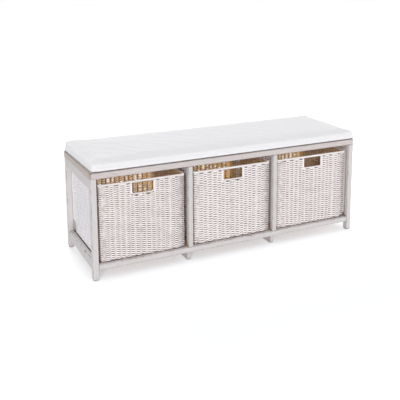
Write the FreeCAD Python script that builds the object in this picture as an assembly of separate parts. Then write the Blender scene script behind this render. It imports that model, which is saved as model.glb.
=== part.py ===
import FreeCAD, Part
import math
import os

# Entryway bench: a limed softwood frame with three pull-out woven baskets, woven
# end panels and a loose seat pad. Millimetres, +Z up, front towards -Y. The origin
# is on the floor, under the middle of the bench.

# ---- Frame ---------------------------------------------------------------
frame_length = 1120.0        # across the outer faces of the legs
frame_depth = 355.0          # from the front legs' faces to the rear legs' faces
leg_height = 370.0           # floor to the underside of the top board
leg_size = 21.0              # square section of the legs
foot_radius = 7.0            # worn round foot of each leg
arris = 1.4                  # eased long edges of the frame's members

post_width = 19.0            # divider posts between the bays
post_depth = 21.0

front_rail_bottom = 38.0
front_rail_height = 21.0
rear_rail_bottom = 38.0
rear_rail_height = 74.0      # a board that stands above the shelf and stops the baskets
rear_rail_depth = 19.0

side_rail_recess = 3.0       # set back from the legs' outer faces
side_rail_thickness = 18.0
side_upper_rail_height = 41.0
side_lower_rail_bottom = 36.0
side_lower_rail_height = 35.0
worn_edge_depth = 5.0        # sag of the hand-worn edge on the lower side rails
worn_edge_margin = 16.0      # the edge stays crisp this far from each leg

divider_rail_height = 18.0   # under the top board, from post to post
divider_rail_width = 16.0

# ---- Mortise and tenon joints ------------------------------------------------
tenon_thickness = 7.0
tenon_shoulder = 4.0         # a rail's tenon is this much lower than it at top and bottom
long_tenon = 12.0            # front and rear rails, into the legs
stub_tenon = 6.0             # side rails, which end short of the long rails' tenons
post_tenon = 8.0             # posts, down into the front and rear rails
board_tenon = 12.0           # legs and posts, up into the top board
board_tenon_size = 9.0       # square section of those

# ---- Top board and seat pad -----------------------------------------------
board_thickness = 24.0
board_overhang = 2.0
board_edge_radius = 4.5
board_corner_radius = 8.0
cushion_thickness = 32.0
cushion_margin = 3.0         # the board shows this much round the pad
cushion_edge_radius = 9.0    # its upper edges; the lower ones lie nearly square
cushion_under_chamfer = 3.0
cushion_corner_radius = 20.0
lying_gap = 0.3              # air under what only lies on its seat

# ---- Shelf under the baskets ------------------------------------------------
shelf_thickness = 5.0
batten_size = 12.0
support_thickness = 14.0     # boards on edge under the posts, down to the floor
support_chamfer = 2.0

# ---- Woven end panels --------------------------------------------------------
panel_thickness = 5.0
panel_lap = 6.0              # laps onto the inner faces of the legs
panel_top_lap = 20.0         # laps onto the upper rail
panel_foot_gap = 3.0         # the weave ends this far above the lower rail
panel_notch_depth = 26.0     # missing corner at the bottom rear
panel_notch_rise = 1.0       # that corner is clear of the rear rail's top by this much

# ---- Baskets -----------------------------------------------------------------
basket_count = 3
basket_side_clearance = 2.0  # rim to end panel; the middle basket is the same size
basket_rear_clearance = 4.0  # rim to the rear rail
basket_setback = 7.0         # behind the front faces of the legs
basket_headroom = 25.5       # rim to the underside of the top board
basket_wall = 9.0
basket_floor = 6.0
basket_corner_radius = 14.0
basket_turn_in = 6.0         # the walls turn in to the floor
rim_height = 9.0
rim_proud = 1.0              # rim stands out from the wall, inside and outside
rim_ease = 2.5
handle_width = 81.0          # clear finger hole in the front wall
handle_height = 38.0
handle_corner_radius = 5.0
border_width = 6.0           # wrapped edge of the finger hole
stake_width = 5.0            # flat uprights that the strands are woven round
stake_thickness = 2.4
stake_pitch = 19.0
corner_upright_size = 4.0    # square upright in each corner of a basket

overrun = 1.0                # cutters reach this far past what they cut
same_place = 1e-6

# ---- Places worked out from the sizes ---------------------------------------
x_out = frame_length / 2                       # outer face of the right legs
x_in = x_out - leg_size                        # inner face of the right legs
y_front = -frame_depth / 2
y_rear = frame_depth / 2
board_top = leg_height + board_thickness
shelf_top = front_rail_bottom + front_rail_height
shelf_under = shelf_top - shelf_thickness
rear_rail_top = rear_rail_bottom + rear_rail_height
rear_rail_front = y_rear - rear_rail_depth
side_rail_top = side_lower_rail_bottom + side_lower_rail_height
side_upper_rail_bottom = leg_height - side_upper_rail_height
side_rail_y = (y_front + leg_size, y_rear - leg_size)
side_rail_x = (x_out - side_rail_recess - side_rail_thickness, x_out - side_rail_recess)
shelf_y = (y_front + leg_size, rear_rail_front)
bay_width = (2 * x_in - (basket_count - 1) * post_width) / basket_count
bay_pitch = bay_width + post_width
post_xs = [(i + 1) * bay_pitch - post_width / 2 - x_in for i in range(basket_count - 1)]
bay_xs = [(i + 0.5) * bay_width + i * post_width - x_in for i in range(basket_count)]
basket_bottom = shelf_top + lying_gap
basket_top = leg_height - basket_headroom
rim_bottom = basket_top - rim_height
basket_half_width = bay_width / 2 - panel_thickness - basket_side_clearance
basket_x = (-basket_half_width, basket_half_width)
basket_y = (y_front + basket_setback, rear_rail_front - basket_rear_clearance)
side_names = {"left": -1, "right": 1}
bay_names = ["left", "centre", "right"]


# ---- Helpers: a span is (low, high) along one axis ----------------------------
def grown(span, amount):
    return (span[0] - amount, span[1] + amount)


def about(middle, width):
    return (middle - width / 2, middle + width / 2)


def central(span, width):
    """The middle part of a span."""
    return about(sum(span) / 2, width)


def block(x, y, z):
    """A box from its three spans."""
    return Part.makeBox(x[1] - x[0], y[1] - y[0], z[1] - z[0],
                        FreeCAD.Vector(x[0], y[0], z[0]))


def edges_along(shape, axis):
    """The straight edges of a shape that run along one axis, 0, 1 or 2."""
    chosen = []
    for edge in shape.Edges:
        run = edge.lastVertex().Point - edge.firstVertex().Point
        if edge.Curve.TypeId == "Part::GeomLine" and abs(run[axis]) > 0.999 * run.Length:
            chosen.append(edge)
    return chosen


def edges_at_height(shape, z):
    """Every edge that lies flat at height z."""
    chosen = []
    for edge in shape.Edges:
        box = edge.BoundBox
        if abs(box.ZMin - z) < same_place and abs(box.ZMax - z) < same_place:
            chosen.append(edge)
    return chosen


def eased(shape, axis):
    """A frame member with its long edges planed off."""
    return shape.makeChamfer(arris, edges_along(shape, axis))


def rounded_block(x, y, z, corner_radius):
    """A box whose upright corners are round."""
    body = block(x, y, z)
    return body.makeFillet(corner_radius, edges_along(body, 2))


def joined(body, tenon):
    return body.fuse(tenon).removeSplitter()


def mirrored(shape, side):
    """The shape as drawn for the right-hand side, or its mirror image for the left."""
    if side > 0:
        return shape
    return shape.mirror(FreeCAD.Vector(0, 0, 0), FreeCAD.Vector(1, 0, 0))


# ---- Frame members: a tenon block runs right through its member ----------------
def leg(side, y):
    """y is the leg's span from front to rear; years of pushing have rounded its foot."""
    x = (x_in, x_out)
    body = block(x, y, (0, leg_height))
    body = eased(body.makeFillet(foot_radius, edges_at_height(body, 0)), 2)
    tenon = block(central(x, board_tenon_size), central(y, board_tenon_size),
                  (leg_height, leg_height + board_tenon))
    return mirrored(joined(body, tenon), side)


def post(x, y, sill):
    """Divider post between a long rail, whose top is the sill, and the top board."""
    body = eased(block(about(x, post_width), y, (sill, leg_height)), 2)
    tenon = block(about(x, board_tenon_size), central(y, board_tenon_size),
                  (sill - post_tenon, leg_height + board_tenon))
    return joined(body, tenon)


def long_rail(y, bottom, height):
    z = (bottom, bottom + height)
    body = eased(block((-x_in, x_in), y, z), 0)
    tenon = block(grown((-x_in, x_in), long_tenon), central(y, tenon_thickness),
                  grown(z, -tenon_shoulder))
    return joined(body, tenon)


def cross_rail(x, y, z):
    """A rail from front to rear with a stub tenon at each end."""
    body = eased(block(x, y, z), 1)
    tenon = block(central(x, tenon_thickness), grown(y, stub_tenon), grown(z, -tenon_shoulder))
    return joined(body, tenon)


def side_upper_rail(side):
    return mirrored(cross_rail(side_rail_x, side_rail_y, (side_upper_rail_bottom, leg_height)), side)


def side_lower_rail(side):
    """Years of shoes and hands have hollowed its outer top edge, cut here by a wide
    drum that lies square to the edge, leaning at 45 degrees."""
    rail = cross_rail(side_rail_x, side_rail_y, (side_lower_rail_bottom, side_rail_top))
    chord = side_rail_y[1] - side_rail_y[0] - 2 * worn_edge_margin
    sag = worn_edge_depth / math.sqrt(2)
    drum_radius = chord ** 2 / (8 * sag) + sag / 2
    outward = FreeCAD.Vector(1, 0, 1).normalize()
    along_drum = FreeCAD.Vector(1, 0, -1).normalize()
    edge_middle = FreeCAD.Vector(side_rail_x[1], 0, side_rail_top)
    half_drum = 2 * side_rail_thickness
    drum_end = edge_middle + outward * (drum_radius - sag) - along_drum * half_drum
    drum = Part.makeCylinder(drum_radius, 2 * half_drum, drum_end, along_drum)
    return mirrored(rail.cut(drum), side)


def divider_rail(x):
    y = (y_front + post_depth, y_rear - post_depth)
    return cross_rail(about(x, divider_rail_width), y, (leg_height - divider_rail_height, leg_height))


def centre_support(x):
    """Board on edge from the front rail to the rear rail, down to the floor."""
    body = block(about(x, support_thickness), shelf_y, (0, shelf_under))
    body = body.makeChamfer(support_chamfer, edges_at_height(body, 0))
    tenon = block(about(x, tenon_thickness), grown(shelf_y, stub_tenon),
                  (front_rail_bottom + tenon_shoulder, shelf_under - tenon_shoulder))
    return joined(body, tenon)


def top_board():
    z = (leg_height, board_top)
    body = rounded_block(grown((-x_out, x_out), board_overhang),
                         grown((y_front, y_rear), board_overhang), z, board_corner_radius)
    body = body.makeFillet(board_edge_radius, edges_at_height(body, board_top))
    return body.makeChamfer(arris, edges_at_height(body, leg_height))


# ---- Shelf ------------------------------------------------------------------------
# the panels meet over the centre supports
shelf_edges = [-x_in] + post_xs + [x_in]
batten_z = (shelf_under - batten_size, shelf_under)


def shelf_panel(index):
    return block((shelf_edges[index], shelf_edges[index + 1]), shelf_y, (shelf_under, shelf_top))


def shelf_battens():
    """Strips under the front and rear edges of the shelf, between cleats and supports."""
    inset = [batten_size] + [support_thickness / 2] * (basket_count - 1) + [batten_size]
    strips = []
    for index in range(basket_count):
        x = (shelf_edges[index] + inset[index], shelf_edges[index + 1] - inset[index + 1])
        for y in ((shelf_y[0], shelf_y[0] + batten_size), (shelf_y[1] - batten_size, shelf_y[1])):
            strips.append(block(x, y, batten_z))
    return Part.makeCompound(strips)


def side_cleats():
    """Strips along the lower side rails that carry the outer edges of the shelf."""
    cleat = block((x_in - batten_size, x_in), side_rail_y, batten_z)
    return Part.makeCompound([mirrored(cleat, side) for side in side_names.values()])


# ---- Woven end panels ----------------------------------------------------------------
panel_x = (x_in - panel_thickness, x_in)
panel_y = grown(side_rail_y, panel_lap)
panel_z = (side_rail_top + panel_foot_gap, side_upper_rail_bottom + panel_top_lap)
panel_notch_y = side_rail_y[1] - panel_notch_depth
panel_notch_top = rear_rail_top + panel_notch_rise


def stake_offsets(half_span):
    """Evenly spaced offsets, either side of the middle, that stay inside half_span."""
    count = int((half_span - stake_width) / stake_pitch)
    return [i * stake_pitch for i in range(-count, count + 1)]


def end_panel(side):
    """Woven panel on the inner faces of the end frame, short of its bottom rear corner."""
    missing_corner = block(grown(panel_x, overrun), (panel_notch_y, panel_y[1] + overrun),
                           (panel_z[0] - overrun, panel_notch_top))
    return mirrored(block(panel_x, panel_y, panel_z).cut(missing_corner), side)


def end_panel_stakes(side):
    """The flat uprights inside a woven panel."""
    stakes = []
    for middle in stake_offsets((panel_y[1] - panel_y[0]) / 2):
        y = about(middle, stake_width)
        bottom = panel_z[0] if y[1] < panel_notch_y else panel_notch_top
        stakes.append(block(central(panel_x, stake_thickness), y, (bottom, panel_z[1])))
    return mirrored(Part.makeCompound(stakes), side)


# ---- Baskets, drawn for the middle bay --------------------------------------------------
wall_x = grown(basket_x, -rim_proud)
wall_y = grown(basket_y, -rim_proud)
wall_corner = basket_corner_radius - rim_proud
inside_x = grown(wall_x, -basket_wall)
inside_y = grown(wall_y, -basket_wall)
inside_corner = wall_corner - basket_wall
front_wall_y = (wall_y[0], wall_y[0] + basket_wall)
rear_wall_y = (wall_y[1] - basket_wall, wall_y[1])
right_wall_x = (wall_x[1] - basket_wall, wall_x[1])
handle_bottom = rim_bottom - handle_height
border_bottom = handle_bottom - border_width
border_outer_width = handle_width + 2 * border_width


def finger_hole(width, bottom, corner_radius, y):
    """A solid the shape of the hole: round lower corners, open up to the rim."""
    body = block(about(0, width), y, (bottom, rim_bottom))
    lower = [e for e in edges_along(body, 1) if e.BoundBox.ZMax < bottom + same_place]
    return body.makeFillet(corner_radius, lower)


def bordered_hole(y):
    return finger_hole(border_outer_width, border_bottom, handle_corner_radius + border_width, y)


def basket_weave():
    """Walls with round corners, turned in at the bottom, cut away for the handle."""
    outer = rounded_block(wall_x, wall_y, (basket_bottom, rim_bottom), wall_corner)
    outer = outer.makeChamfer(basket_turn_in, edges_at_height(outer, basket_bottom))
    inner = rounded_block(inside_x, inside_y, grown((basket_bottom, rim_bottom), overrun), inside_corner)
    return outer.cut(inner).cut(bordered_hole(grown(front_wall_y, overrun)))


def basket_base():
    return rounded_block(inside_x, inside_y, (basket_bottom, basket_bottom + basket_floor), inside_corner)


def basket_rim():
    """Wrapped border round the top of the walls."""
    z = (rim_bottom, basket_top)
    outer = rounded_block(basket_x, basket_y, z, basket_corner_radius)
    inner = rounded_block(grown(inside_x, -rim_proud), grown(inside_y, -rim_proud),
                          grown(z, overrun), inside_corner - rim_proud)
    ring = outer.cut(inner)
    return ring.makeChamfer(rim_ease, edges_at_height(ring, basket_top))


def handle_border():
    """U-shaped wrapped edge of the finger hole, up to the rim."""
    y = grown(front_wall_y, rim_proud)
    clear = finger_hole(handle_width, handle_bottom, handle_corner_radius, grown(y, overrun))
    return bordered_hole(y).cut(clear)


def basket_stakes():
    """The uprights that the strands are woven round: flat ones on all four sides and a
    square one in each corner."""
    low = basket_bottom + basket_turn_in
    to_middle = wall_corner - (wall_corner - basket_wall / 2) / math.sqrt(2)
    stakes = [block(about(x, corner_upright_size), about(y, corner_upright_size), (low, rim_bottom))
              for x in grown(wall_x, -to_middle) for y in grown(wall_y, -to_middle)]
    for middle in stake_offsets(wall_x[1]):
        x = about(middle, stake_width)
        under_handle = x[0] < border_outer_width / 2 and x[1] > -border_outer_width / 2
        front_top = border_bottom if under_handle else rim_bottom
        stakes.append(block(x, central(front_wall_y, stake_thickness), (low, front_top)))
        stakes.append(block(x, central(rear_wall_y, stake_thickness), (low, rim_bottom)))
    for offset in stake_offsets((wall_y[1] - wall_y[0]) / 2):
        y = about(sum(wall_y) / 2 + offset, stake_width)
        stake = block(central(right_wall_x, stake_thickness), y, (low, rim_bottom))
        stakes += [mirrored(stake, side) for side in side_names.values()]
    return Part.makeCompound(stakes)


def seat_cushion():
    margin = cushion_margin - board_overhang
    z = (board_top + lying_gap, board_top + cushion_thickness)
    body = rounded_block(grown((-x_out, x_out), -margin), grown((y_front, y_rear), -margin),
                         z, cushion_corner_radius)
    body = body.makeFillet(cushion_edge_radius, edges_at_height(body, z[1]))
    return body.makeChamfer(cushion_under_chamfer, edges_at_height(body, z[0]))


# ---- The pieces, by name ---------------------------------------------------------------
pieces = {}
for name, side in side_names.items():
    pieces[f"leg_front_{name}"] = leg(side, (y_front, y_front + leg_size))
    pieces[f"leg_rear_{name}"] = leg(side, (y_rear - leg_size, y_rear))
    pieces[f"side_upper_rail_{name}"] = side_upper_rail(side)
    pieces[f"side_lower_rail_{name}"] = side_lower_rail(side)
    pieces[f"end_panel_{name}"] = end_panel(side)
    pieces[f"end_panel_stakes_{name}"] = end_panel_stakes(side)
for name, x in zip(side_names, post_xs):
    pieces[f"front_post_{name}"] = post(x, (y_front, y_front + post_depth), shelf_top)
    pieces[f"rear_post_{name}"] = post(x, (y_rear - post_depth, y_rear), rear_rail_top)
    pieces[f"divider_rail_{name}"] = divider_rail(x)
    pieces[f"centre_support_{name}"] = centre_support(x)
pieces["front_bottom_rail"] = long_rail((y_front, y_front + leg_size), front_rail_bottom,
                                        front_rail_height)
pieces["rear_bottom_rail"] = long_rail((rear_rail_front, y_rear), rear_rail_bottom, rear_rail_height)
pieces["top_board"] = top_board()
for index, name in enumerate(bay_names):
    pieces[f"shelf_panel_{name}"] = shelf_panel(index)
pieces["shelf_battens"] = shelf_battens()
pieces["side_cleats"] = side_cleats()
pieces["seat_cushion"] = seat_cushion()

# each mortise is cut by the member whose tenon it takes
mortised = {
    "leg_": ["side_upper_rail_", "side_lower_rail_", "front_bottom_rail", "rear_bottom_rail"],
    "front_post_": ["divider_rail_"],
    "rear_post_": ["divider_rail_"],
    "front_bottom_rail": ["front_post_", "centre_support_"],
    "rear_bottom_rail": ["rear_post_", "centre_support_"],
    "top_board": ["leg_", "front_post_", "rear_post_"],
}
for mortised_kind, tenoned_kinds in mortised.items():
    for name in [n for n in pieces if n.startswith(mortised_kind)]:
        for other in [n for n in pieces if n.startswith(tuple(tenoned_kinds))]:
            if pieces[name].BoundBox.intersect(pieces[other].BoundBox):
                pieces[name] = pieces[name].cut(pieces[other])

basket_pieces = {
    "weave": basket_weave(),
    "base": basket_base(),
    "rim": basket_rim(),
    "handle_border": handle_border(),
    "stakes": basket_stakes(),
}
for name, x in zip(bay_names, bay_xs):
    for piece_name, shape in basket_pieces.items():
        pieces[f"basket_{name}_{piece_name}"] = shape.translated(FreeCAD.Vector(x, 0, 0))

os.makedirs("parts", exist_ok=True)
for name, shape in pieces.items():
    for solid in shape.Solids:
        if not solid.isValid():
            raise ValueError(f"{name} has a broken solid")
    shape.exportStep(f"parts/{name}.step")
print(len(pieces), "pieces written")
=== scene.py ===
# %% [markdown]
# # Entryway bench
# A low bench for a hallway: a slim softwood frame under a thin white wash, three
# woven baskets that pull out like drawers, woven end panels and a loose seat pad.
# The frame's members come ready made as solids. Everything woven or padded is
# modelled here around them, strand by strand, because light passes through it.

# %% Load the frame
import math

import bmesh
import bpy
from mathutils import Matrix, Vector, noise


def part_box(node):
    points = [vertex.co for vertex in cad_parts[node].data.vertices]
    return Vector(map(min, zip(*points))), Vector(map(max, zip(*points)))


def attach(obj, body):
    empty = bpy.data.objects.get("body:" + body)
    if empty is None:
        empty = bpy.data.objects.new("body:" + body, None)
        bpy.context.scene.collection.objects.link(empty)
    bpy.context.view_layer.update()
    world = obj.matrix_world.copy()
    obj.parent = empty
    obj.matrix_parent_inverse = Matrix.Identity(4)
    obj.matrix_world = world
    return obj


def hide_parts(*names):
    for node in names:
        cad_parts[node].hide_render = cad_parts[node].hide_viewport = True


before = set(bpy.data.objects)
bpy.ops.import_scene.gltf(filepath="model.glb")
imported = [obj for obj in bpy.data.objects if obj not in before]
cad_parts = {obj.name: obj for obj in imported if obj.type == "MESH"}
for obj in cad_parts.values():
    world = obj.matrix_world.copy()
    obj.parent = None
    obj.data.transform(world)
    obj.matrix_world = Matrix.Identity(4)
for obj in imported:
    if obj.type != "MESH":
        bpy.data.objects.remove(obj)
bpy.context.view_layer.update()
scene = bpy.context.scene
scene.view_settings.view_transform = "Standard"
MM = 0.001
SIDES = {"left": -1, "right": 1}
BAYS = ("left", "centre", "right")

# %% [markdown]
# ## The camera
# The bench is seen from its left front, a little above it. Its legs stand almost
# upright in the view, so part of the tilt is lens shift instead of a tilted camera.

# %% Camera
camera_data = bpy.data.cameras.new("camera")
camera_data.sensor_width = 36.0
camera_data.lens = 58.1
camera_data.shift_y = -0.25
camera = bpy.data.objects.new("camera", camera_data)
scene.collection.objects.link(camera)
scene.camera = camera
camera.location = (-1.1415, -2.2486, 1.0180)
turn_right, tilt_down, roll = (math.radians(a) for a in (25.737, 9.976, 0.324))
camera.rotation_euler = (
    Matrix.Rotation(-turn_right, 3, "Z")
    @ Matrix.Rotation(math.pi / 2 - tilt_down, 3, "X")
    @ Matrix.Rotation(-roll, 3, "Z")
).to_euler()
print("camera", round(camera.location.length, 2), "m from the bench's middle")

# %% [markdown]
# ## Studio
# Four soft lamps stand round the bench: overhead, beside the camera, far to the right,
# and behind, where one shines in between the rows of the baskets. The sky adds only a
# low even fill, so each lamp still shapes what it meets. Floor and sky are set apart
# for the camera, which sees them as plain white paper.

# %% Small helpers for colours, nodes and meshes
def linear(hex_colour):
    """An sRGB hex colour as the linear values that sockets take."""
    values = [int(hex_colour[i:i + 2], 16) / 255 for i in (1, 3, 5)]
    levels = [v / 12.92 if v <= 0.04045 else ((v + 0.055) / 1.055) ** 2.4 for v in values]
    return (*levels, 1.0)


def add_node(tree, kind, inputs=None, **settings):
    """Add one node; an input is a plain value, or another node's output to link."""
    made = tree.nodes.new(kind)
    for name, value in settings.items():
        setattr(made, name, value)
    for socket, value in (inputs or {}).items():
        if isinstance(value, bpy.types.NodeSocket):
            tree.links.new(value, made.inputs[socket])
        else:
            made.inputs[socket].default_value = value
    return made


def to_the_camera(tree, shown, otherwise):
    """What the camera sees straight on, and what light meets otherwise."""
    ray = add_node(tree, "ShaderNodeLightPath")
    return add_node(tree, "ShaderNodeMixShader", {0: ray.outputs["Is Camera Ray"],
                                                  1: otherwise.outputs[0], 2: shown.outputs[0]})


def mesh_of(shape, name):
    """A mesh made from a bmesh, which is then freed."""
    mesh = bpy.data.meshes.new(name)
    shape.to_mesh(mesh)
    shape.free()
    return mesh


print("helpers ready")

# %% Floor and sky
FLOOR_REACH = 30.0
FLOOR_LIFT = 0.44
SKY_FILL, SKY_SHOWN = 0.31, 1.0

floor_shape = bmesh.new()
bmesh.ops.create_grid(floor_shape, x_segments=1, y_segments=1, size=FLOOR_REACH)
floor = bpy.data.objects.new("floor", mesh_of(floor_shape, "floor"))
scene.collection.objects.link(floor)

floor_paint = bpy.data.materials.new("white_studio_floor")
floor_paint.use_nodes = True
tree = floor_paint.node_tree
tree.nodes.clear()
matt = add_node(tree, "ShaderNodeBsdfDiffuse", {"Color": linear("#e5e6e8")})
lift = add_node(tree, "ShaderNodeEmission", {"Color": linear("#fcfdff"), "Strength": FLOOR_LIFT})
no_lift = add_node(tree, "ShaderNodeEmission", {"Strength": 0.0})
lifted = to_the_camera(tree, lift, no_lift)
paper = add_node(tree, "ShaderNodeAddShader", {0: matt.outputs[0], 1: lifted.outputs[0]})
add_node(tree, "ShaderNodeOutputMaterial", {"Surface": paper.outputs[0]})
floor.data.materials.append(floor_paint)

world = bpy.data.worlds.new("studio_sky")
scene.world = world
world.use_nodes = True
tree = world.node_tree
tree.nodes.clear()
fill, white = (add_node(tree, "ShaderNodeBackground", {"Color": linear("#ffffff"),
                                                       "Strength": strength})
               for strength in (SKY_FILL, SKY_SHOWN))
sky = to_the_camera(tree, white, fill)
add_node(tree, "ShaderNodeOutputWorld", {"Surface": sky.outputs[0]})
print("floor and sky set")

# %% Lamps
LAMPS = {
    # name: (which way its light travels, how wide it looks in degrees, strength)
    "overhead_softbox": ((-0.2, 0.45, -1.0), 60, 0.55),
    "softbox_by_the_camera": ((0.52, 0.84, -0.29), 14, 1.84),
    "softbox_right": ((-1.0, 0.0, -0.16), 30, 1.3),
    "softbox_behind": ((0.0, -0.9, -0.30), 40, 2.1),
}
for name, (direction, width, strength) in LAMPS.items():
    lamp_data = bpy.data.lights.new(name, "SUN")
    lamp_data.angle = math.radians(width)
    lamp_data.energy = strength
    lamp = bpy.data.objects.new(name, lamp_data)
    scene.collection.objects.link(lamp)
    lamp.rotation_euler = Vector(direction).to_track_quat("-Z", "Y").to_euler()
print(len(LAMPS), "lamps set")

# %% [markdown]
# ## Limed softwood
# The frame is fir or a similar softwood, brushed with thin white wash that dries in
# the grain, then rubbed through at the edges, so reddish brown wood shows along
# every arris and in the joints. A Bevel node finds the edges and Ambient Occlusion
# the inside corners; streaks run along the member, so each direction of grain has
# its own material. Ambient Occlusion also turns deeper recesses and the gaps between
# parts that dark brown, as painted shade. The board and the front members have been
# handled most, so they are rubbed further, and they carry more painted shade: in the
# gaps where the baskets meet the rails, and under the pad's edge. The shelf and the
# basket floors never had any wash.

# %% Shorthands for materials
def new_material(name):
    """A material's node tree, its shader, and the place on the object as texture input."""
    material = bpy.data.materials.new(name)
    material.use_nodes = True
    tree = material.node_tree
    place = add_node(tree, "ShaderNodeTexCoord").outputs["Object"]
    return material, tree, tree.nodes["Principled BSDF"], place


def maths(tree, operation, *values):
    """The result of one Math node; sums are kept between 0 and 1."""
    clamped = operation in ("ADD", "MULTIPLY_ADD")
    return add_node(tree, "ShaderNodeMath", dict(enumerate(values)), operation=operation,
                    use_clamp=clamped).outputs[0]


def mask(tree, value, low, high, at_low=0.0, at_high=1.0):
    """A value turned into a mask that goes from one limit to the other."""
    return add_node(tree, "ShaderNodeMapRange", {"Value": value, "From Min": low, "From Max": high,
                                                 "To Min": at_low, "To Max": at_high}).outputs[0]


def mixed(tree, factor, first, second):
    """Two colours mixed by a factor."""
    return add_node(tree, "ShaderNodeMix", {"Factor": factor, 6: first, 7: second},
                    data_type="RGBA").outputs[2]


def noise_at(tree, place, grain, detail):
    """Noise whose grains are a given length."""
    return add_node(tree, "ShaderNodeTexNoise", {"Vector": place, "Scale": 1 / grain,
                                                 "Detail": detail}).outputs["Fac"]


def streaks(tree, place, along, across_mm, along_mm, detail, low, high):
    """Noise stretched along one axis, turned into a mask between two levels."""
    scale = [1 / (across_mm * MM)] * 3
    scale[along] = 1 / (along_mm * MM)
    stretched = add_node(tree, "ShaderNodeMapping", {"Vector": place, "Scale": scale})
    grain = add_node(tree, "ShaderNodeTexNoise", {"Vector": stretched.outputs[0], "Scale": 1.0,
                                                  "Detail": detail, "Roughness": 0.6})
    return mask(tree, grain.outputs["Fac"], low, high)


def absolute_parts(tree, vector):
    """The sizes of a vector's x, y and z parts, without their signs."""
    size = add_node(tree, "ShaderNodeVectorMath", {0: vector}, operation="ABSOLUTE").outputs[0]
    return add_node(tree, "ShaderNodeSeparateXYZ", {"Vector": size}).outputs


def add_relief(tree, shader, height, strength, distance):
    """Bump a shader by a height."""
    relief = add_node(tree, "ShaderNodeBump", {"Height": height, "Strength": strength,
                                               "Distance": distance})
    tree.links.new(relief.outputs[0], shader.inputs["Normal"])


print("material shorthands ready")

# %% Limed wood
SAMPLES = 6
# How square to one axis a softened normal is on a flat face and on an arris, and how
# far it turns down and up at the arrises below and above.
FACE, ARRIS = 0.97, 0.80
BELOW, ABOVE = -0.1, 0.1
WASH_STREAKS = (
    # across and along the grain in mm, detail, and the two levels of the mask
    (5.0, 90.0, 4.0, 0.42, 0.72),
    (1.2, 30.0, 2.0, 0.55, 0.75),
    (22.0, 40.0, 3.0, 0.46, 0.62),
)
# Ambient Occlusion within the near reach finds the joints, which show bare wood; within the far
# reach it finds recesses and gaps, which take painted shade in the same brown.
JOINT_REACH, RECESS_REACH = 5 * MM, 45 * MM
RECESS = (0.45, 0.15)
MOST_DARKENED = 0.85


def worn_edges(tree, width, lower_edges):
    """Where the wood's arrises are worn; those that face down wear less."""
    soft_normal = add_node(tree, "ShaderNodeBevel", {"Radius": width}, samples=SAMPLES).outputs[0]
    x, y, z = absolute_parts(tree, soft_normal)
    flat = maths(tree, "MAXIMUM", maths(tree, "MAXIMUM", x, y), z)
    turned = add_node(tree, "ShaderNodeSeparateXYZ", {"Vector": soft_normal}).outputs[2]
    return maths(tree, "MULTIPLY", mask(tree, flat, FACE, ARRIS),
                 mask(tree, turned, BELOW, ABOVE, lower_edges, 1.0))


def dark_joints_and_painted_shade(tree, crevice):
    """Bare wood in the corners at the joints, and painted shade in the same brown in deep recesses
    and in the gaps between parts.
    """
    near, deep = (add_node(tree, "ShaderNodeAmbientOcclusion", {"Distance": reach},
                           samples=SAMPLES).outputs["AO"] for reach in (JOINT_REACH, RECESS_REACH))
    less_white = maths(tree, "MAXIMUM", mask(tree, near, *crevice), mask(tree, deep, *RECESS))
    return maths(tree, "MULTIPLY", less_white, MOST_DARKENED)


def limed_wood(name, along, least_rubbed=0.12, rubbed_in_patches=0.75,
               wash_colours=("#d8d4d4", "#c6c0bf"), bare_and_shade_colour="#7d5138", lower_edges=1.0,
               worn_width=3.0 * MM, end_grain=0.0, crevice=(0.55, 0.25), streak=("#b9afab", 0.3)):
    """Washed softwood whose grain runs along axis 0, 1 or 2."""
    material, tree, shader, place = new_material(name)
    thin, fine, patches = (streaks(tree, place, along, *shape) for shape in WASH_STREAKS)
    rubbed_here = maths(tree, "MULTIPLY_ADD", patches, rubbed_in_patches, least_rubbed)
    rubbed = maths(tree, "MULTIPLY", worn_edges(tree, worn_width, lower_edges), rubbed_here)
    # Rubbed arrises and joints show bare wood; recesses and gaps take painted shade in the bare
    # wood's colour.
    bare = maths(tree, "ADD", rubbed, dark_joints_and_painted_shade(tree, crevice))
    wash = mixed(tree, maths(tree, "MULTIPLY", thin, 0.5), *(linear(c) for c in wash_colours))
    wash = mixed(tree, maths(tree, "MULTIPLY", fine, streak[1]), wash, linear(streak[0]))
    if end_grain:
        face = add_node(tree, "ShaderNodeNewGeometry").outputs["True Normal"]
        end = absolute_parts(tree, face)[along]
        wash = mixed(tree, maths(tree, "MULTIPLY", end, end_grain), wash, linear("#b59f86"))
    colour = mixed(tree, bare, wash, linear(bare_and_shade_colour))
    tree.links.new(colour, shader.inputs["Base Color"])
    shader.inputs["Roughness"].default_value = 0.62
    add_relief(tree, shader, maths(tree, "ADD", thin, fine), 0.25, 0.3 * MM)
    return material


LIMED = {axis: limed_wood(f"limed_softwood_along_{'xyz'[axis]}", axis) for axis in range(3)}
# The front members: wider rubbed arrises, and a joint mask that reaches much further, which paints
# shade in the gaps where the baskets meet the rails.
WORN_AND_SHADED = {axis: limed_wood(f"limed_softwood_worn_and_shaded_along_{'xyz'[axis]}", axis, least_rubbed=0.45,
                         rubbed_in_patches=0.55, bare_and_shade_colour="#54382a", lower_edges=0.6,
                         worn_width=7.0 * MM, crevice=(0.95, 0.45), streak=("#9a7763", 0.45))
        for axis in range(3)}
BARE = {axis: limed_wood(f"bare_softwood_along_{'xyz'[axis]}", axis,
                         wash_colours=("#cfa377", "#b98b60")) for axis in range(2)}
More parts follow.
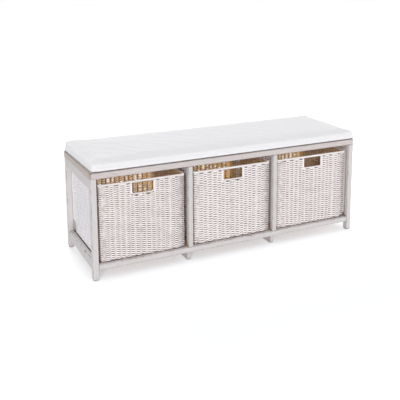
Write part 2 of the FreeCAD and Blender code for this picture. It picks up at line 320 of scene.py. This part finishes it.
# The board's upper arris goes nearly black: partly wear, partly the painted shadow of the pad's
# overhanging edge.
BOARD = limed_wood("limed_softwood_board_worn_with_painted_shadow", 0, least_rubbed=0.80, rubbed_in_patches=0.20,
                   wash_colours=("#d5cdcb", "#c2b7b3"), bare_and_shade_colour="#3a261d", lower_edges=0.3,
                   worn_width=8.0 * MM, end_grain=0.4, crevice=(0.8, 0.4),
                   streak=("#9a7763", 0.55))
print(len(LIMED) + len(WORN_AND_SHADED) + len(BARE) + 1, "kinds of wood")

# %% Finish the wooden members
WASHED_MEMBERS = ("leg_", "side_", "front_", "rear_", "divider_", "centre_support_", "top_board")
# The front members and the front right leg take the wood with more wear and more painted shade.
WORN_AND_SHADED_MEMBERS = ("front_", "leg_front_right")


def grain_axis(node):
    """A member's grain runs along its longest side."""
    low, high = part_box(node)
    size = high - low
    return max(range(3), key=lambda axis: size[axis])


def finish_node(node, material):
    """Give a CAD node one material."""
    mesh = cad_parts[node].data
    mesh.materials.clear()
    mesh.materials.append(material)


washed = [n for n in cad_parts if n.startswith(WASHED_MEMBERS)]
bare = [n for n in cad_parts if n.startswith("shelf_") or n.endswith("_base")]
for node in washed:
    kind = WORN_AND_SHADED if node.startswith(WORN_AND_SHADED_MEMBERS) else LIMED
    finish_node(node, BOARD if node == "top_board" else kind[grain_axis(node)])
for node in bare:
    finish_node(node, BARE[grain_axis(node)])
print(len(washed), "wooden members limed,", len(bare), "left bare")

# %% [markdown]
# ## Woven cord
# The baskets and end panels are plain weave: cords of twisted paper run round the
# basket, and each passes in front of one flat upright stake and behind the next. A
# bump map would look right only from far off, and no light would come through it.
# So every row is a real strand here: a smooth curve led in and out round the stakes,
# with a flattened round section, turned into a mesh.

# %% Strands
CORD_SIDES = 5
STAKE_PITCH = 19.0 * MM
STAKE_WIDTH = 5.0 * MM
STAKE_THICKNESS = 2.4 * MM


def cord_section(depth, height):
    """The flattened section of a cord, for a curve to carry along."""
    outline = bpy.data.curves.new("cord_section", "CURVE")
    spline = outline.splines.new("POLY")
    spline.points.add(CORD_SIDES - 1)
    for i, point in enumerate(spline.points):
        angle = -math.tau * i / CORD_SIDES
        point.co = (depth / 2 * math.cos(angle), height / 2 * math.sin(angle), 0.0, 1.0)
    spline.use_cyclic_u = True
    return bpy.data.objects.new("cord_section", outline)


def with_modifiers(piece):
    """The mesh that an object gives with its curve or its modifiers worked out."""
    bpy.context.view_layer.update()
    return bpy.data.meshes.new_from_object(
        piece.evaluated_get(bpy.context.evaluated_depsgraph_get()))


def strands(rows, depth, height, steps=1):
    """A mesh of smooth strands; each row is (its points, whether it is a closed ring). A
    point is a place, or a place and how thick the strand is there."""
    curve = bpy.data.curves.new("strands", "CURVE")
    curve.dimensions = "3D"
    curve.twist_mode = "Z_UP"
    curve.resolution_u = steps
    curve.bevel_mode = "OBJECT"
    curve.bevel_object = cord_section(depth, height)
    curve.use_fill_caps = True
    for points, closed in rows:
        spline = curve.splines.new("BEZIER")
        spline.bezier_points.add(len(points) - 1)
        for knot, point in zip(spline.bezier_points, points):
            knot.co, knot.radius = point if isinstance(point, tuple) else (point, 1.0)
            knot.handle_left_type = "AUTO"
            knot.handle_right_type = "AUTO"
        spline.use_cyclic_u = closed
    carrier = bpy.data.objects.new("strands", curve)
    scene.collection.objects.link(carrier)
    mesh = with_modifiers(carrier)
    bpy.data.objects.remove(curve.bevel_object)
    bpy.data.objects.remove(carrier)
    return mesh


def smooth_step(value, low, high):
    """0 up to low and 1 from high on, with a smooth rise between them."""
    t = min(max((value - low) / (high - low), 0.0), 1.0)
    return t * t * (3 - 2 * t)


print("strands ready")

# %% Places round a basket's wall
STAKE_UNEVEN = 6.0 * MM
LEAN = 5.5 * MM
# How many times noise changes in a metre, from stake to stake and up a stake.
STAKE_TO_STAKE, UP_A_STAKE = 41, 8


def faces_a_wall(out):
    """Whether an outward direction is square to a wall, and not at a corner."""
    return max(abs(out.x), abs(out.y)) > 0.99


def wall_stations(half_x, half_y, corner):
    """Stations round the middle of the wall, from the middle of the front to the right:
    (place, outward direction, which side of the strand's row it takes, -1 to 1)."""
    walls, corners = [], []
    for quarter in range(4):
        angle = quarter * math.pi / 2
        run = Vector((math.cos(angle), math.sin(angle), 0.0))
        out = Vector((math.sin(angle), -math.cos(angle), 0.0))
        half_run, half_out = (half_x, half_y) if quarter % 2 == 0 else (half_y, half_x)
        reach = int((half_run - corner - STAKE_WIDTH / 2) / STAKE_PITCH)
        walls.append([(run * k * STAKE_PITCH + out * half_out, out, (-1) ** k)
                      for k in range(-reach, reach + 1)])
        centre = run * (half_run - corner) + out * (half_out - corner)
        way = (run + out).normalized()
        corners.append([(centre + way * corner, way, 1.0)])
    middle = len(walls[0]) // 2
    ring = walls[0][middle:]
    for quarter in range(1, 4):
        ring += corners[quarter - 1] + walls[quarter]
    return ring + corners[3] + walls[0][:middle]


def drift(place, z):
    """How far along the wall a stake stands from its even place, at a height."""
    x, y = place.x * STAKE_TO_STAKE, place.y * STAKE_TO_STAKE
    uneven = STAKE_UNEVEN * noise.noise(Vector((x, y, 3.0)))
    return uneven + LEAN * noise.noise(Vector((x, y, z * UP_A_STAKE)))


def outward_from_wall(place, half_x, half_y, corner):
    """The outward direction at a place near the wall, and how far outside its middle it is."""
    core = Vector((min(max(place.x, corner - half_x), half_x - corner),
                   min(max(place.y, corner - half_y), half_y - corner), place.z))
    away = place - core
    return away.normalized(), away.length - corner


print("places round a wall ready")

# %% [markdown]
# ## White wash over tan cord
# The baskets were woven from tan cord and then sprayed white from outside, so the
# spray reaches only what faces out. The parts that lie deep between the rows are
# darkened to greyish brown: that is painted shade. Each vertex stores how much spray
# it caught, worked out from the way it faces, and how much painted shade it takes,
# worked out from how deep it lies. The material mixes its colours by that, and lets
# light through the cord where no spray has sealed it, which makes the inside glow.

# %% Washed cord
FLECK, PATCH, SPOT, TWIST = 7 * MM, 45 * MM, 14 * MM, 1.4 * MM
SCATTER = (1.0, 0.92, 0.88)
SCATTER_LENGTH = 16.0 * MM


def washed_cord(name, outer_colour, cord_colours):
    """Cord in one of two tans inside, an outer colour where it faces out, and painted shade where
    it lies deep.
    """
    material, tree, shader, place = new_material(name)
    wash, painted_shade = (add_node(tree, "ShaderNodeAttribute", attribute_name=layer).outputs["Fac"]
                  for layer in ("wash", "painted_shade"))
    less_white = mask(tree, noise_at(tree, place, FLECK, 3.0), 0.60, 0.78)
    whole = maths(tree, "SUBTRACT", 1.0, maths(tree, "MULTIPLY", less_white, 0.3))
    tan = mixed(tree, noise_at(tree, place, PATCH, 2.0), *(linear(c) for c in cord_colours))
    uneven = mask(tree, noise_at(tree, place, SPOT, 1.0), 0.35, 0.65, 0.4, 1.0)
    # Painted shade: where a point lies deep, the colour darkens unevenly towards greyish brown.
    outer_with_painted_shade = mixed(tree, maths(tree, "MULTIPLY", painted_shade, uneven), linear(outer_colour),
                   linear("#6d594e"))
    colour = mixed(tree, maths(tree, "MULTIPLY", wash, whole), tan, outer_with_painted_shade)
    tree.links.new(colour, shader.inputs["Base Color"])
    shader.inputs["Roughness"].default_value = 0.7
    tree.links.new(maths(tree, "SUBTRACT", 1.0, wash), shader.inputs["Subsurface Weight"])
    shader.inputs["Subsurface Radius"].default_value = SCATTER
    shader.inputs["Subsurface Scale"].default_value = SCATTER_LENGTH
    shader.inputs["Subsurface Anisotropy"].default_value = 0.6
    add_relief(tree, shader, noise_at(tree, place, TWIST, 1.0), 0.3, 0.3 * MM)
    return material


CORD = washed_cord("white_washed_paper_cord", "#fffafa", ("#ffb785", "#f8a368"))
# Stakes: their outward faces are painted dark greyish brown as shade, and their inner faces are
# tan.
SPLINT = washed_cord("rattan_splint_in_painted_shade", "#6f5849", ("#ffb785", "#f8a368"))
PANEL = washed_cord("white_washed_flat_cord", "#fdfbff", ("#ddcdbd", "#d0bfae"))
print("cord materials ready")

# %% Pieces and their spray
def add_piece(name, mesh, material, slot, body, *replaced):
    """Show a mesh as a piece that rides on a body and stands for CAD nodes."""
    mesh.name = name
    mesh.materials.clear()
    mesh.materials.append(material)
    piece = bpy.data.objects.new(name, mesh)
    scene.collection.objects.link(piece)
    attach(piece, body)
    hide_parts(*replaced)
    return piece


def spray(mesh, spray_and_shade):
    """Store on each vertex how much white spray it caught and how much painted shade it takes."""
    for name in ("wash", "painted_shade"):
        mesh.attributes.new(name, "FLOAT", "POINT")
    layers = [mesh.attributes[name].data for name in ("wash", "painted_shade")]
    for i, (vertex, normal) in enumerate(zip(mesh.vertices, mesh.vertex_normals)):
        for layer, value in zip(layers, spray_and_shade(vertex.co, normal.vector)):
            layer[i].value = value


print("spray ready")

# %% [markdown]
# ## Basket walls
# One basket is woven a little looser than the next, and rows wander up and down as
# they do when cord is beaten down by hand. Rows that meet the finger hole stop at
# its border. The rows at the foot step in, where the wall turns to the floor. The
# front of each basket is woven tight; the other walls are looser, with small gaps
# here and there between two rows, through which light comes in.

# %% Measure the baskets
WALL = 9.0 * MM
WALL_CORNER = 13.0 * MM
ROW_PITCH = {"left": 3.8 * MM, "centre": 4.5 * MM, "right": 4.4 * MM}
CORD_SPREAD = {"left": 1.38, "centre": 1.50, "right": 1.42}


class Basket:
    """Where one basket's wall, rim and finger hole are, read from its CAD nodes."""

    def __init__(self, bay):
        self.bay = bay
        self.body = f"basket_{bay}"
        low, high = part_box(f"basket_{bay}_weave")
        self.middle = Vector(((low.x + high.x) / 2, (low.y + high.y) / 2, 0.0))
        self.half_x = (high.x - low.x - WALL) / 2
        self.half_y = (high.y - low.y - WALL) / 2
        self.corner = WALL_CORNER - WALL / 2
        self.bottom, self.top = low.z, high.z
        hole_low, hole_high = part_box(f"basket_{bay}_handle_border")
        self.hole_half = (hole_high.x - hole_low.x) / 2
        self.hole_bottom = hole_low.z
        self.cord = CORD_SPREAD[bay] * ROW_PITCH[bay]
        self.stations = wall_stations(self.half_x, self.half_y, self.corner)


BASKETS = [Basket(bay) for bay in BAYS]
print(len(BASKETS), "baskets with", len(BASKETS[0].stations), "stations each")

# %% Weave the walls
CORD_DEPTH = 3.0 * MM
BULGE = (STAKE_THICKNESS + CORD_DEPTH) / 2
TURN_IN = 6.0 * MM
WANDER = {"left": 1.6 * MM, "centre": 1.2 * MM, "right": 1.2 * MM}
WANDER_STARTS = 20 * MM
BUMP = 0.35 * MM
# How many times noise changes in a metre, along a row, from row to row and between gaps.
ALONG_A_ROW, ROW_TO_ROW, GAP_TO_GAP = 17, 30, 60
LOOSENESS = 0.84
BESIDE_STAKE, LESS_BESIDE = 4.2 * MM, 0.9
PINCHED = 0.72
GAP_PINCH, GAP_PARTING = 0.50, 0.6 * MM
GAP_AMOUNT = {"left": -0.16, "centre": -0.15, "right": 0.12}
UNDER_HOLE_BORDER = 3 * MM
FRONT = Vector((0.0, -1.0, 0.0))


def row_route(basket, z):
    """The stations that a row passes, and whether it goes all the way round."""
    if z <= basket.hole_bottom:
        return basket.stations, True
    hole_end = basket.hole_half - UNDER_HOLE_BORDER
    passed = math.ceil((hole_end + STAKE_WIDTH / 2) / STAKE_PITCH)
    ends = [(Vector((side * hole_end, -basket.half_y, 0.0)), FRONT, 0.0) for side in (1, -1)]
    return ends[:1] + basket.stations[passed:1 - passed] + ends[1:], False


def between_stakes(basket, row, before, after, thick):
    """Where a row crosses between two stakes: the cord is pinched, or leaves a gap."""
    cross = (before + after) / 2
    if thick == 1.0:
        return cross, PINCHED * thick
    patch = noise.noise(Vector((cross.x * GAP_TO_GAP, cross.y * GAP_TO_GAP, (row // 2) * 2.3)))
    if patch >= GAP_AMOUNT[basket.bay]:
        return cross, thick
    cross.z += GAP_PARTING * (2 * (row % 2) - 1)
    return cross, GAP_PINCH * thick


def woven_row(basket, row, z):
    """One row: in front of one stake and behind the next."""
    route, closed = row_route(basket, z)
    step_in = 0.6 * TURN_IN * (1 - smooth_step(z - basket.bottom, 0.0, 1.5 * TURN_IN))
    points = []
    last_out = last_at = None
    for place, out, side in route:
        at = basket.middle + place - out * step_in
        rise = out * BULGE * side * (-1) ** row
        run = Vector((-out.y, out.x, 0.0))
        at.z = z
        thick = 1.0 if out.y < -0.5 else LOOSENESS
        at_stake = side != 0.0 and faces_a_wall(out)
        if at_stake:
            at += run * drift(place, z)
        wave = noise.noise(Vector((at.x * ALONG_A_ROW, at.y * ALONG_A_ROW, z * ROW_TO_ROW + 7)))
        free = smooth_step(z, basket.bottom, basket.bottom + WANDER_STARTS)
        at.z += WANDER[basket.bay] * wave * free
        at += out * BUMP * noise.noise(at * GAP_TO_GAP)
        if at_stake:
            if last_out == out:
                points.append(between_stakes(basket, row, last_at, at, thick))
            points += [(at - run * BESIDE_STAKE + rise * LESS_BESIDE, thick),
                       (at + rise, thick),
                       (at + run * BESIDE_STAKE + rise * LESS_BESIDE, thick)]
        else:
            points.append((at + rise, thick))
        last_out, last_at = out, at
    return points, closed


def woven_wall(basket):
    """All rows of one basket, from its foot to its rim."""
    height = basket.top - basket.bottom
    count = round(height / ROW_PITCH[basket.bay])
    rows = [woven_row(basket, row, basket.bottom + (row + 0.5) * height / count)
            for row in range(count)]
    return strands(rows, CORD_DEPTH, basket.cord)


WALLS = {basket: woven_wall(basket) for basket in BASKETS}
print("rows woven in", len(WALLS), "baskets")

# %% Spray the walls
# Painted shade between the rows grows across these depths, measured inward from the wall's middle.
SHADE_STARTS, SHADE_FULL = -1.0 * MM, 1.8 * MM
# Painted contact shade: the basket darkens up to this height above the front rail's top.
RAIL_SHADE_BAND = 6.0 * MM


def spray_basket(mesh, basket):
    """Spray from outside; painted shade lies deep between the rows, and everything from the foot
    up to just above the front rail's top is darkened as painted contact shade.
    """
    rail_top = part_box("front_bottom_rail")[1].z

    def spray_and_shade(place, normal):
        out, outside = outward_from_wall(place - basket.middle, basket.half_x, basket.half_y,
                                         basket.corner)
        rail_shade = 1 - smooth_step(place.z, rail_top + 0.3 * RAIL_SHADE_BAND, rail_top + RAIL_SHADE_BAND)
        painted_shade = smooth_step(-outside, SHADE_STARTS, SHADE_FULL)
        return smooth_step(normal.dot(out), -0.8, -0.1), max(rail_shade, painted_shade)
    spray(mesh, spray_and_shade)


for basket, wall in WALLS.items():
    spray_basket(wall, basket)
    add_piece(f"woven_wall_{basket.bay}", wall, CORD, "woven_cord", basket.body,
              f"basket_{basket.bay}_weave")
    print(basket.bay, "wall:", len(wall.polygons), "faces")

# %% [markdown]
# ## Stakes
# The uprights are flat splints, so each is a thin plate with its long edges rounded.
# Their outward faces, seen where the rows leave them bare, are painted dark greyish
# brown as shade. The four corners have a thinner square upright each, which the rows
# bend round.

# %% Stakes
CORNER_UPRIGHT = 4.0 * MM
UPRIGHT_ROUNDING = 0.45 * STAKE_THICKNESS


def round_edges(shape, edges, radius, segments):
    """Round some edges of a shape."""
    bmesh.ops.bevel(shape, geom=edges, offset=radius, offset_type="OFFSET", segments=segments,
                    profile=0.5, affect="EDGES", material=-1)


def upright_bar(shape, middle, size_x, size_y, low, high):
    """Add one upright with its long edges rounded."""
    size = Vector((size_x, size_y, high - low))
    made = bmesh.ops.create_cube(shape, size=1.0)["verts"]
    bmesh.ops.scale(shape, vec=size, verts=made)
    bmesh.ops.translate(shape, vec=middle + Vector((0.0, 0.0, (low + high) / 2)), verts=made)
    upright = {e for v in made for e in v.link_edges
               if abs(e.verts[0].co.z - e.verts[1].co.z) > 0.5 * size.z}
    round_edges(shape, list(upright), UPRIGHT_ROUNDING, 2)


def flat_stake(shape, middle, faces_y, low, high):
    """Add one flat upright, which faces along y or along x."""
    sizes = (STAKE_WIDTH, STAKE_THICKNESS) if faces_y else (STAKE_THICKNESS, STAKE_WIDTH)
    upright_bar(shape, middle, *sizes, low, high)


def basket_stakes(basket):
    """All uprights of one basket; those under the finger hole end at its border."""
    shape = bmesh.new()
    low = basket.bottom + TURN_IN
    for place, out, _ in basket.stations:
        at = basket.middle + place
        if faces_a_wall(out):
            at += Vector((-out.y, out.x, 0.0)) * drift(place, (low + basket.top) / 2)
            under_hole = out.y < -0.5 and abs(place.x) - STAKE_WIDTH / 2 < basket.hole_half
            high = basket.hole_bottom if under_hole else basket.top
            flat_stake(shape, at, abs(out.y) > 0.5, low, high)
        else:
            upright_bar(shape, at, CORNER_UPRIGHT, CORNER_UPRIGHT, low, basket.top)
    return mesh_of(shape, "stakes")


for basket in BASKETS:
    stakes = basket_stakes(basket)
    spray_basket(stakes, basket)
    add_piece(f"basket_stakes_{basket.bay}", stakes, SPLINT, "woven_cord", basket.body,
              f"basket_{basket.bay}_stakes")
print("stakes stand in", len(BASKETS), "baskets")

# %% [markdown]
# ## Wrapped borders
# The rim and the finger hole are bound: a core of cords with one more cord wound
# round it. The winding is a helix along the border's own path, so each turn shows
# from close by, and the core behind it closes the gaps. Both are strands again.

# %% Paths and windings
WRAP_WIDTH = 3.0 * MM
WRAP_THICKNESS = 3.0 * MM
WRAP_OVERLAP = 1.15
STEPS_PER_TURN = 8
CORE_EVERY = 4
CORNER_PARTS = 6


def rounded(corners, radius, closed):
    """A path's corners, each replaced by the places of a quarter round."""
    places = []
    for i, corner in enumerate(corners):
        if not closed and i in (0, len(corners) - 1):
            places.append(corner)
            continue
        before, after = corners[i - 1], corners[(i + 1) % len(corners)]
        back, on = (before - corner).normalized(), (after - corner).normalized()
        centre = corner + (back + on) * radius
        for part in range(CORNER_PARTS + 1):
            turn = part / CORNER_PARTS * math.pi / 2
            places.append(centre - on * radius * math.cos(turn) - back * radius * math.sin(turn))
    return places + places[:1] if closed else places


def along(places, step):
    """Places and directions every step along a path."""
    run = []
    carried = 0.0
    for start, end in zip(places, places[1:]):
        length = (end - start).length
        direction = (end - start).normalized()
        while carried < length:
            run.append((start + direction * carried, direction))
            carried += step
        carried -= length
    return run


def wound_border(corners, radius, closed, thick, high, face):
    """A cord wound round a core: thick in the face direction, high in the other way."""
    path = along(rounded(corners, radius, closed), WRAP_WIDTH / STEPS_PER_TURN)
    turns = round(len(path) / STEPS_PER_TURN)
    winding = []
    for i, (place, direction) in enumerate(path):
        outward = face(direction)
        upward = direction.cross(outward)
        angle = math.tau * turns * i / len(path)
        reach = (thick - WRAP_THICKNESS) / 2 * math.cos(angle)
        rise = (high - WRAP_THICKNESS) / 2 * math.sin(angle)
        winding.append(place + outward * reach + upward * rise)
    core = [place for place, _ in path[::CORE_EVERY]]
    joined = bmesh.new()
    joined.from_mesh(strands([(winding, closed)], WRAP_THICKNESS, WRAP_OVERLAP * WRAP_WIDTH))
    joined.from_mesh(strands([(core, closed)], thick - WRAP_THICKNESS, high - WRAP_THICKNESS))
    return mesh_of(joined, "border")


print("windings ready")

# %% Rims and hole borders
RIM_PROUD = 1.0 * MM
HOLE_BORDER = 6.0 * MM
HOLE_RADIUS = {"left": 7.0 * MM, "centre": 4.0 * MM, "right": 4.0 * MM}
UP = Vector((0.0, 0.0, 1.0))


def rim(basket):
    """The border round the top of a basket."""
    low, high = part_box(f"basket_{basket.bay}_rim")
    z = (low.z + high.z) / 2
    corners = [basket.middle + Vector((sx * basket.half_x, sy * basket.half_y, z))
               for sx, sy in ((1, -1), (1, 1), (-1, 1), (-1, -1))]
    return wound_border(corners, basket.corner, True, WALL + 2 * RIM_PROUD, high.z - low.z,
                        lambda direction: direction.cross(UP))


def hole_border(basket):
    """The U-shaped border of a finger hole."""
    low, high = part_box(f"basket_{basket.bay}_handle_border")
    y = (low.y + high.y) / 2
    left, right = low.x + HOLE_BORDER / 2, high.x - HOLE_BORDER / 2
    bottom = low.z + HOLE_BORDER / 2
    corners = [Vector((x, y, z)) for x, z in ((left, high.z), (left, bottom), (right, bottom),
                                              (right, high.z))]
    return wound_border(corners, HOLE_RADIUS[basket.bay] + HOLE_BORDER / 2, False,
                        high.y - low.y, HOLE_BORDER, lambda direction: FRONT)


for basket in BASKETS:
    for name, mesh, node in (("basket_rim", rim(basket), "rim"),
                             ("hole_border", hole_border(basket), "handle_border")):
        spray_basket(mesh, basket)
        add_piece(f"{name}_{basket.bay}", mesh, CORD, "woven_cord", basket.body,
                  f"basket_{basket.bay}_{node}")
        print(basket.bay, name, "has", len(mesh.polygons), "faces")

# %% [markdown]
# ## End panels
# Each end of the bench is closed by a woven panel behind the rails. It is the same
# plain weave with flatter cord, and one bottom corner is left out. The wash is as
# good as whole here, on both sides, and the cord under it is paler.

# %% End panels
PANEL_CORD = (1.5 * MM, 4.6 * MM)
PANEL_PITCH = 4.2 * MM
PANEL_WANDER = 0.5 * MM
# Painted shade on the panel: its strength, and the depth across which it grows towards the inner
# side.
PANEL_SHADE, PANEL_SHADE_DEPTH = 0.5, 1.5 * MM
PANEL_LAP = 6.0 * MM
PANEL_NOTCH_DEPTH, PANEL_NOTCH_RISE = 26.0 * MM, 1.0 * MM


class EndPanel:
    """Where one end panel, its stakes and its missing corner are."""

    def __init__(self, name, side):
        self.side = side
        self.low, self.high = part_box(f"end_panel_{name}")
        stake_low, stake_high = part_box(f"end_panel_stakes_{name}")
        reach = round((stake_high.y - stake_low.y - STAKE_WIDTH) / STAKE_PITCH / 2)
        self.stakes = [(k, (self.low.y + self.high.y) / 2 + k * STAKE_PITCH)
                       for k in range(-reach, reach + 1)]
        self.x = (self.low.x + self.high.x) / 2
        self.notch_y = self.high.y - PANEL_LAP - PANEL_NOTCH_DEPTH
        self.notch_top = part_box("rear_bottom_rail")[1].z + PANEL_NOTCH_RISE


def panel_row(panel, row, z):
    """One row of an end panel, which ends at the missing corner or at the rear."""
    end_y = panel.notch_y if z < panel.notch_top else panel.high.y
    points = [Vector((panel.x, panel.low.y, z))]
    for k, y in panel.stakes:
        if y + STAKE_WIDTH < end_y:
            bulge = (STAKE_THICKNESS + PANEL_CORD[0]) / 2 * (-1) ** (k + row)
            points.append(Vector((panel.x + panel.side * bulge, y, z)))
    points.append(Vector((panel.x, end_y, z)))
    for at in points:
        wave = noise.noise(Vector((panel.side, at.y * ALONG_A_ROW, z * ROW_TO_ROW)))
        at.z += PANEL_WANDER * wave
    return points, False


def woven_panel(panel):
    """All rows and stakes of one end panel."""
    height = panel.high.z - panel.low.z
    count = round(height / PANEL_PITCH)
    rows = [panel_row(panel, row, panel.low.z + (row + 0.5) * height / count)
            for row in range(count)]
    shape = bmesh.new()
    shape.from_mesh(strands(rows, *PANEL_CORD, steps=2))
    for _, y in panel.stakes:
        foot = panel.low.z if y + STAKE_WIDTH / 2 < panel.notch_y else panel.notch_top
        flat_stake(shape, Vector((panel.x, y, 0.0)), False, foot, panel.high.z)
    return mesh_of(shape, "end_panel")


def spray_panel(mesh, panel):
    """Spray from outside, most of which goes through to the other side; painted shade grows
    towards the panel's inner side.
    """
    out = Vector((panel.side, 0.0, 0.0))

    def spray_and_shade(place, normal):
        inside = panel.side * (panel.x - place.x)
        return (0.3 + 0.7 * smooth_step(normal.dot(out), -0.9, -0.2),
                PANEL_SHADE * smooth_step(inside, -PANEL_SHADE_DEPTH, PANEL_SHADE_DEPTH))
    spray(mesh, spray_and_shade)


for name, side in SIDES.items():
    panel = EndPanel(name, side)
    mesh = woven_panel(panel)
    spray_panel(mesh, panel)
    add_piece(f"woven_end_{name}", mesh, PANEL, "woven_cord", "bench_frame",
              f"end_panel_{name}", f"end_panel_stakes_{name}")
    print(name, "end panel:", len(mesh.polygons), "faces")

# %% [markdown]
# ## Seat pad
# The pad is a slab of soft foam in a loose cotton cover, laid on the board a little
# askew. A cloth simulation blows the cover up gently while its underside is held
# flat, which rounds the sides and crowns the top as a real filling does. Slack shows
# afterwards as long shallow creases, which are moved into the mesh by noise.

# %% Seat pad's shape
PAD_VOXEL = 6.0 * MM
PAD_SWELL = 5.0 * MM
PAD_CORNER, PAD_EDGE = 18 * MM, 6 * MM


def pad_start():
    """A rounded slab, a little smaller than the finished pad except underneath."""
    low, high = (corner.copy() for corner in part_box("seat_cushion"))
    for axis in range(2):
        low[axis] += 0.5 * PAD_SWELL
        high[axis] -= 0.5 * PAD_SWELL
    high.z -= 0.6 * PAD_SWELL
    shape = bmesh.new()
    corners = bmesh.ops.create_cube(shape, size=1.0)["verts"]
    bmesh.ops.scale(shape, vec=high - low, verts=corners)
    bmesh.ops.translate(shape, vec=(low + high) / 2, verts=corners)
    upright = [e for e in shape.edges if abs(e.verts[0].co.z - e.verts[1].co.z) > 10 * MM]
    round_edges(shape, upright, PAD_CORNER, 5)
    upper = [e for e in shape.edges if min(v.co.z for v in e.verts) > high.z - 0.1 * MM]
    round_edges(shape, upper, PAD_EDGE, 3)
    return mesh_of(shape, "pad")


def voxel_remeshed(mesh, size):
    """The same form in even small squares, which cloth needs."""
    carrier = bpy.data.objects.new("pad_blank", mesh)
    scene.collection.objects.link(carrier)
    remesh = carrier.modifiers.new("remesh", "REMESH")
    remesh.mode = "VOXEL"
    remesh.voxel_size = size
    made = with_modifiers(carrier)
    bpy.data.objects.remove(carrier)
    return made


pad_blank = voxel_remeshed(pad_start(), PAD_VOXEL)
print("pad blank:", len(pad_blank.polygons), "faces")

# %% Blow the cover up
PAD_PRESSURE, PAD_FRAMES = 4.0, 20


def puffed(mesh, pressure, frames, most):
    """Cloth pressure with the underside held; no point moves further than most."""
    start = [v.co.copy() for v in mesh.vertices]
    floor_z = min(p.z for p in start)
    carrier = bpy.data.objects.new("pad_cloth", mesh)
    scene.collection.objects.link(carrier)
    held = carrier.vertex_groups.new(name="held")
    underside = [i for i, p in enumerate(start) if p.z < floor_z + 0.5 * PAD_VOXEL]
    held.add(underside, 1.0, "REPLACE")
    cloth = carrier.modifiers.new("cloth", "CLOTH")
    cloth.settings.use_pressure = True
    cloth.settings.uniform_pressure_force = pressure
    cloth.settings.vertex_group_mass = "held"
    cloth.settings.effector_weights.gravity = 0.0
    cloth.point_cache.frame_start = 1
    cloth.point_cache.frame_end = frames
    for frame_number in range(1, frames + 1):
        scene.frame_set(frame_number)
    made = with_modifiers(carrier)
    bpy.data.objects.remove(carrier)
    scene.frame_set(1)
    for vertex, home in zip(made.vertices, start):
        step = vertex.co - home
        if step.length > most:
            vertex.co = home + step * (most / step.length)
    return made


pad_mesh = puffed(pad_blank, PAD_PRESSURE, PAD_FRAMES, PAD_SWELL)
print("pad top at", round(1000 * max(v.co.z for v in pad_mesh.vertices), 1), "mm")

# %% Creases, and how the pad lies
SWELLS, FOLDS, PUCKERS = 1.6, 1.3, 0.7 * MM
SEAM_DROP, SEAM_REACH = 5 * MM, 7 * MM
LEFT_END_SKEW = (-1.0 * MM, -6.0 * MM)
RIGHT_OVERHANG = 15.0 * MM
FRONT_OVERHANG = 4.0 * MM
REAR_OVERHANG = 9.0 * MM
REAR_RISE = 9.0 * MM


def crease(mesh):
    """Shallow hollows over the top, more on the used left half, and small puckers where
    the cover is sewn along the edges."""
    low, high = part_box("seat_cushion")
    for vertex, normal in zip(mesh.vertices, [n.vector.copy() for n in mesh.vertex_normals]):
        at = vertex.co
        height = smooth_step(at.z, low.z, high.z)
        broad = noise.noise(Vector((at.x * 5, at.y * 9, 1.0)))
        slanted = noise.noise(Vector((at.x * 9 + at.y * 12, at.y * 5 - at.x * 2, 4.0)))
        folds = max(1 - abs(slanted) * 5, 0.0)
        used = 0.8 + 0.7 * smooth_step(-at.x, 0.2, 0.5)
        at += normal * height * MM * (SWELLS * broad + FOLDS * used * folds)
        edge = 1 - smooth_step(abs(at.z - (high.z - SEAM_DROP)), 0.0, SEAM_REACH)
        at += normal * PUCKERS * edge * noise.noise(Vector((at.x * 45, at.y * 45, 9.0)))


def lay(mesh):
    """Slide the ends to where they lie: the left end is drawn in at the rear."""
    low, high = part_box("seat_cushion")
    for vertex in mesh.vertices:
        across = (vertex.co.x - low.x) / (high.x - low.x)
        back = (vertex.co.y - low.y) / (high.y - low.y)
        at_left = LEFT_END_SKEW[0] + (LEFT_END_SKEW[1] - LEFT_END_SKEW[0]) * back
        vertex.co.x += (1 - across) * at_left + across * RIGHT_OVERHANG
        vertex.co.y += REAR_OVERHANG * back - FRONT_OVERHANG * (1 - back)
        vertex.co.z += REAR_RISE * back * smooth_step(vertex.co.z, low.z, high.z)


crease(pad_mesh)
lay(pad_mesh)
print("pad creased and laid")

# %% [markdown]
# ## Cotton canvas
# The cover is plain unbleached cotton: matt, with slubs where a thread is thicker.
# Threads are half a millimetre apart, too fine to show, so the weave is drawn at
# three millimetres and the slubs at their real length of a few centimetres.

# %% Cotton canvas
CANVAS_THREAD = 3.0 * MM
SLUB = (2.0, 35.0, 2.0, 0.40, 0.75)


def cotton_canvas(name):
    """Plain weave with slubs both ways."""
    material, tree, shader, place = new_material(name)
    warp, weft = (maths(tree, "MULTIPLY", streaks(tree, place, axis, *SLUB), 0.5)
                  for axis in range(2))
    slubs = maths(tree, "ADD", warp, weft)
    colour = mixed(tree, slubs, linear("#efeef0"), linear("#e3e1e4"))
    tree.links.new(colour, shader.inputs["Base Color"])
    shader.inputs["Roughness"].default_value = 0.9
    shader.inputs["Sheen Weight"].default_value = 0.15
    scale = math.tau / (20 * CANVAS_THREAD)
    threads = [add_node(tree, "ShaderNodeTexWave", {"Vector": place, "Scale": scale},
                        bands_direction=direction, wave_profile="SIN").outputs["Fac"]
               for direction in "XY"]
    weave = maths(tree, "MULTIPLY", *threads)
    height = maths(tree, "ADD", maths(tree, "MULTIPLY", weave, 0.4),
                   maths(tree, "MULTIPLY", slubs, 0.6))
    add_relief(tree, shader, height, 0.25, 0.5 * MM)
    return material


CANVAS = cotton_canvas("cotton_canvas_cover")
pad = add_piece("seat_pad", pad_mesh, CANVAS, "pad_cover", "seat_cushion", "seat_cushion")
smoother = pad.modifiers.new("smoother", "SUBSURF")
smoother.levels = smoother.render_levels = 1
for polygon in pad_mesh.polygons:
    polygon.use_smooth = True
print("seat pad laid")

# %% End
print("bench scene built")
